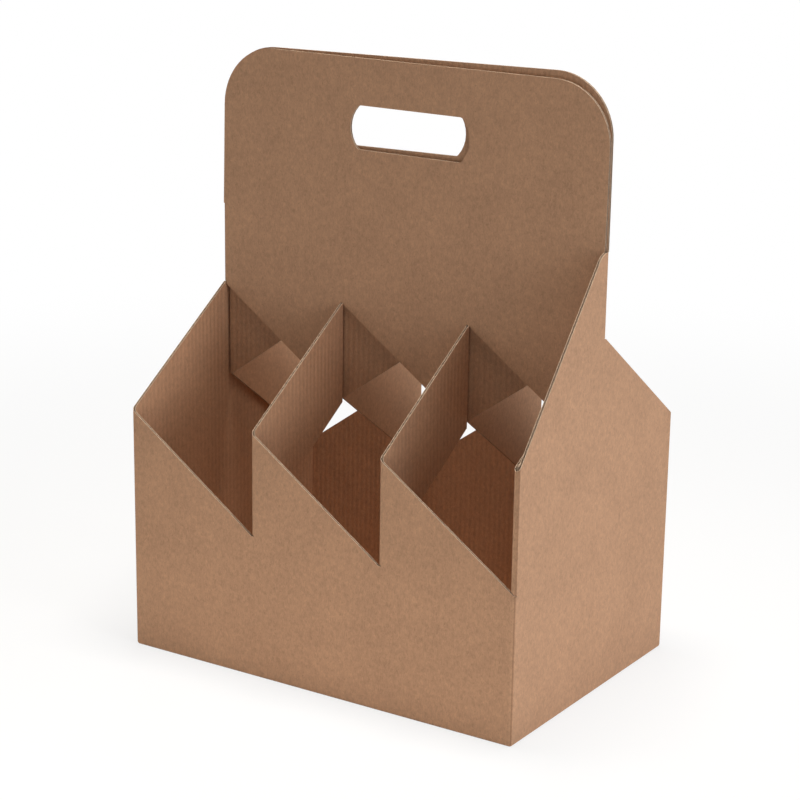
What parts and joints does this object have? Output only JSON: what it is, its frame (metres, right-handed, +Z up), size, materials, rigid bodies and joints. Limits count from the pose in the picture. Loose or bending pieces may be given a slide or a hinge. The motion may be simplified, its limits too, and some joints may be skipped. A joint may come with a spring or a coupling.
{
  "type": "six-bottle wine carrier",
  "caption": "Open-topped carrier folded from one sheet of kraft corrugated board, with saw-tooth walls, slanted strap dividers and a tall double centre handle with a hand hole",
  "frame": {"origin": "centre of the footprint, on the table", "axes": "+X along the length to the right as seen from the front, -Y is the front, +Z up"},
  "size_m": [0.267, 0.184, 0.36],
  "materials": {
    "kraft_board": "matt"
  },
  "bodies": {
    "root": {"carrier_board": "kraft_board"}
  },
  "joints": []
}
